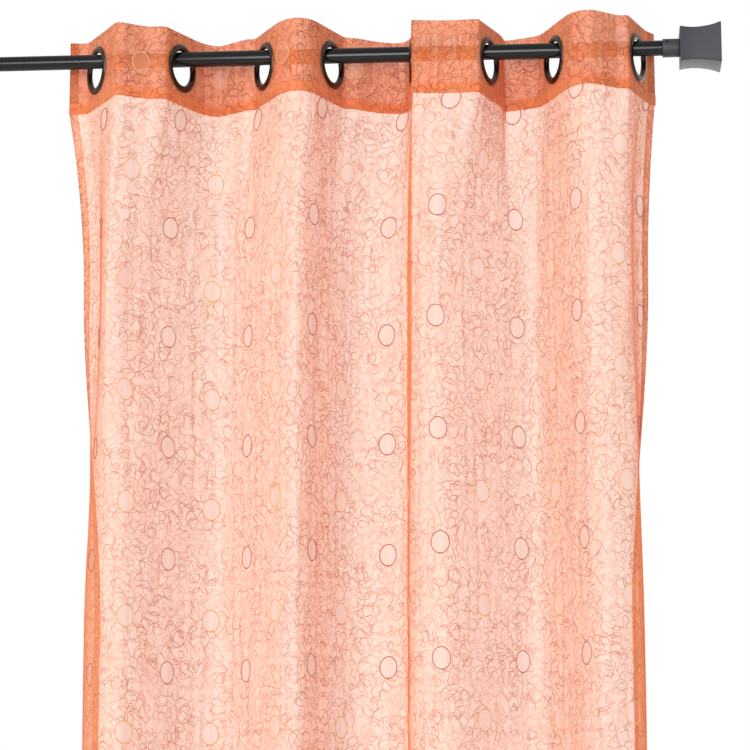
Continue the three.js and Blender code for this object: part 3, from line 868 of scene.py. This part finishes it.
def thread_material(name, light, dark, sheen):
    """Twisted rayon: a soft lustre along fine slanted plies."""
    material, tree = new_material(name)
    place = add_node(tree, "TexCoord").outputs["Object"]
    ply = add_node(tree, "TexWave", {
        "Vector": place, "Scale": 900.0, "Distortion": 1.5, "Detail": 1.0},
        bands_direction="DIAGONAL").outputs["Fac"]
    tone = add_node(tree, "TexNoise", {"Vector": place, "Scale": 45.0, "Detail": 2.0})
    fibre = add_node(tree, "Math MULTIPLY", (tone, 0.65))
    fibre = add_node(tree, "Math MULTIPLY_ADD", (ply, 0.35, fibre))
    finish_surface(tree, fibre, dark, light, ply, 0.4, 0.0002, {
        "Roughness": 0.5, "Sheen Weight": sheen, "Sheen Roughness": 0.35})
    return material


def new_growth(name, **inputs):
    """A Geometry Nodes tree with these inputs for each type, and the sockets of their values."""
    tree = bpy.data.node_groups.new(name, "GeometryNodeTree")
    for kind, labels in {"Geometry": ["Geometry"], **inputs}.items():
        for label in labels:
            tree.interface.new_socket(label, in_out="INPUT", socket_type="NodeSocket" + kind)
    tree.interface.new_socket("Geometry", in_out="OUTPUT", socket_type="NodeSocketGeometry")
    return tree, add_node(tree, "NodeGroupInput").outputs


def place_copies(tree, given, shape, most_turn):
    """The shape on every point, turned at random about the cloth's normal, made real."""
    turn = add_node(tree, "FunctionNodeRandomValue", {
        2: -most_turn, 3: most_turn, "Seed": given["Seed"]}, data_type="FLOAT")
    spin = add_node(tree, "CombineXYZ", {"Z": turn})
    copies = add_node(tree, "GeometryNodeInstanceOnPoints", {
        "Points": given["Geometry"], "Instance": shape, "Rotation": spin})
    real = add_node(tree, "GeometryNodeRealizeInstances", {"Geometry": copies})
    dyed = add_node(tree, "GeometryNodeSetMaterial", {
        "Geometry": real, "Material": given["Material"]})
    add_node(tree, "NodeGroupOutput", {"Geometry": dyed})


rings_tree, given = new_growth(
    "rings_of_thread", Float=["Ring Radius", "Thread", "Knot", "Narrowing"],
    Int=["Sides", "Thread Sides", "Seed"], Material=["Material"])
path = add_node(rings_tree, "GeometryNodeCurvePrimitiveCircle", {
    "Resolution": given["Sides"], "Radius": given["Ring Radius"]}, mode="RADIUS")
half_thread = add_node(rings_tree, "Math MULTIPLY", (given["Thread"], 0.5))
narrow = add_node(rings_tree, "CombineXYZ", (given["Narrowing"], 1.0, 1.0))
oval = add_node(rings_tree, "GeometryNodeTransform", {"Geometry": path, "Scale": narrow})
section = add_node(rings_tree, "GeometryNodeCurvePrimitiveCircle", {
    "Resolution": given["Thread Sides"], "Radius": half_thread}, mode="RADIUS")
loop = add_node(rings_tree, "GeometryNodeCurveToMesh", {"Curve": oval, "Profile Curve": section})
knot = add_node(rings_tree, "GeometryNodeMeshUVSphere", {
    "Segments": 6, "Rings": 4, "Radius": half_thread})
knot_place = add_node(rings_tree, "CombineXYZ", {"Y": given["Ring Radius"]})
knot_size = add_node(rings_tree, "CombineXYZ", (given["Knot"], given["Knot"], 1.0))
knot = add_node(rings_tree, "GeometryNodeTransform", {
    "Geometry": knot, "Translation": knot_place, "Scale": knot_size})
both = add_node(rings_tree, "GeometryNodeJoinGeometry")
for part in (loop, knot):
    rings_tree.links.new(part.outputs[0], both.inputs["Geometry"])
place_copies(rings_tree, given, both, RING_TURN)

stitch_tree, given = new_growth(
    "lockstitches", Float=["Length", "Thread", "Turn"], Int=["Seed"], Material=["Material"])
bead = add_node(stitch_tree, "GeometryNodeMeshUVSphere", {"Segments": 6, "Rings": 4, "Radius": 0.5})
size = add_node(stitch_tree, "CombineXYZ", (given["Length"], given["Thread"], given["Thread"]))
way = add_node(stitch_tree, "CombineXYZ", {"Z": given["Turn"]})
stitch = add_node(stitch_tree, "GeometryNodeTransform", {
    "Geometry": bead, "Rotation": way, "Scale": size})
place_copies(stitch_tree, given, stitch, STITCH_TURN)


def on_face(v):
    """How far in front of the cloth's middle its face is: more over the heading's layers."""
    return FACE_OUT + LAYERS_OUT * smoothstep((strip_depth + FACE_STEP - v) / FACE_STEP)


def grow(name, tree, points, values):
    """Runs a tree on points of the flat cloth in mm, then lays the mesh on the hung cloth."""
    seeds = bpy.data.meshes.new(name)
    seeds.from_pydata([(u, v, 0) for u, v in points], [], [])
    holder = bpy.data.objects.new(name + "_points", seeds)
    bpy.context.scene.collection.objects.link(holder)
    modifier = holder.modifiers.new(name, "NODES")
    modifier.node_group = tree
    for item in tree.interface.items_tree:
        if item.in_out == "INPUT" and item.name in values:
            modifier[item.identifier] = values[item.name]
    made = holder.evaluated_get(bpy.context.evaluated_depsgraph_get())
    mesh = bpy.data.meshes.new_from_object(made)
    bpy.data.objects.remove(holder)
    flat = np.zeros(3 * len(mesh.vertices), dtype="f")
    mesh.vertices.foreach_get("co", flat)
    u, v, out = flat.reshape(-1, 3).T.astype(float)
    hung = cloth_place(np.clip(u / CLOTH_WIDTH, 0, 1), HEADING_TOP - v, out - on_face(v))
    mesh.vertices.foreach_set("co", hung.astype("f").ravel())
    mesh.update()
    mesh.shade_smooth()
    piece = bpy.data.objects.new(name, mesh)
    bpy.context.scene.collection.objects.link(piece)
    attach(piece, "root")
    return piece


def ring_middles(column):
    """Middles of a column's rings on the flat cloth, clear of the edges and the eyelets."""
    u = FIRST_COLUMN + WINDOW_ACROSS * column
    if not EDGE_CLEAR < u < CLOTH_WIDTH - EDGE_CLEAR:
        return []
    first = FIRST_RUST - ROW_RISE * u - (WINDOW_DOWN / 2 - GOLD_LATE) * (column % 2)
    points = []
    for row in range(-1, ROWS):
        v = first + row * WINDOW_DOWN
        hits = [math.hypot(u - eyelet_u, v - HEADING_TOP - EYELET_DROP * 1000) < EYELET_CLEAR
                for eyelet_u in eyelets_flat]
        if EDGE_CLEAR < v < HEADING_TOP - CLOTH_BOTTOM - EDGE_CLEAR and not any(hits):
            points.append((u, v))
    return points


shares = np.linspace(0, 1, 4001)
line = heading.at(shares)
eyelets_flat = [CLOTH_WIDTH * shares[np.argmin(np.hypot(line[:, 0] - x, line[:, 1]))]
                for x, _ in EYELETS]
thread_looks = {
    "rust": thread_material("rust_rayon_thread", "#c87a66", "#b4604f", 0.2),
    "gold": thread_material("gold_rayon_thread", "#f5bd7e", "#e6a055", 0.35),
}
for start, (colour, look) in enumerate(thread_looks.items()):
    points = [p for column in range(start, LAST_COLUMN + 1, 2) for p in ring_middles(column)]
    rings = grow(f"{colour}_rings", rings_tree, points, {
        "Ring Radius": WINDOW_RADIUS, "Thread": RING_THREAD, "Knot": KNOT, "Narrowing": NARROWING,
        "Sides": RING_SIDES, "Thread Sides": THREAD_SIDES, "Seed": SEED, "Material": look})

seam_thread = thread_material("orange_seam_thread", "#e58452", "#d9703f", 0.1)
along = np.arange(ACROSS_STOP, CLOTH_WIDTH - ACROSS_STOP, STITCH_PITCH)
drop = HEADING_TOP - CLOTH_BOTTOM
down = np.arange(strip_depth + DOWN_STOP, drop - DOWN_STOP, STITCH_PITCH)
seams = {
    "heading_seam": ([(u, strip_depth - BAND) for u in along], 0.0),
    "bottom_seam": ([(u, drop - BOTTOM_HEM + BOTTOM_SEAM) for u in along], 0.0),
    "left_seam": ([(SIDE_HEM - HEM_SEAM, v) for v in down], math.pi / 2),
    "right_seam": ([(CLOTH_WIDTH - RIGHT_HEM + HEM_SEAM, v) for v in down], math.pi / 2),
}
for name, (points, turn) in seams.items():
    seam = grow(name, stitch_tree, points, {
        "Length": STITCH_LENGTH, "Thread": STITCH_WIDTH, "Turn": turn, "Seed": SEED,
        "Material": seam_thread})


# ------------------------------------------------------------------ Studio
# A pale floor just under the hem, a broad soft lamp in front with a second one from the left
# that brings out the folds, and one behind the cloth whose light comes through it.
FLOOR_GAP = 0.03
FLOOR_HALF = 6

matt_white, tree = new_material("pale_studio_floor")
place = add_node(tree, "TexCoord").outputs["Object"]
mottle = add_node(tree, "TexNoise", {"Vector": place, "Scale": 3.0, "Detail": 4.0})
shade = add_node(tree, "Mix", {
    0: mottle, 6: linear("#eeece8"), 7: linear("#f3f1ee")}, data_type="RGBA")
matt = add_node(tree, "BsdfPrincipled", {"Base Color": shade, "Roughness": 0.85})
add_node(tree, "OutputMaterial", (matt,))
floor_z = CLOTH_BOTTOM / 1000 - FLOOR_GAP
floor = new_piece("floor", [
    (x * FLOOR_HALF, y * FLOOR_HALF, floor_z) for x, y in ((-1, -1), (1, -1), (1, 1), (-1, 1))
], [(0, 1, 2, 3)], matt_white, smooth=False)


def soft_lamp(name, place, aim, size, power):
    lamp = bpy.data.lights.new(name, "AREA")
    lamp.shape = "RECTANGLE"
    lamp.size, lamp.size_y = size
    lamp.energy = power
    holder = bpy.data.objects.new(name, lamp)
    way = np.array(aim, float) - np.array(place, float)
    holder.location = place
    holder.rotation_euler = (
        math.acos(-way[2] / np.linalg.norm(way)), 0, math.atan2(-way[0], way[1]))
    holder.visible_camera = False
    bpy.context.scene.collection.objects.link(holder)


soft_lamp("front_lamp", (-0.3, -3.3, -0.3), (0, 0, -0.5), (1.6, 1.2), 66)
soft_lamp("side_lamp", (-2.2, -1.8, 0.6), (0, 0, -0.5), (1.2, 1.6), 24)
soft_lamp("back_lamp", (0.4, 2.6, -0.4), (0, 0, -0.7), (2.4, 2.4), 62)

world = bpy.data.worlds.new("white_room")
bpy.context.scene.world = world
world.use_nodes = True
tree = world.node_tree
tree.nodes.clear()
seen = add_node(tree, "LightPath").outputs["Is Camera Ray"]
room = add_node(tree, "Background", (linear("#fbfaf8"), 0.67))
white = add_node(tree, "Background", ((1, 1, 1, 1), 1.0))
both = add_node(tree, "MixShader", (seen, room, white))
add_node(tree, "OutputWorld", (both,))

bpy.context.scene.view_settings.view_transform = "Standard"
bpy.context.scene.view_settings.look = "None"
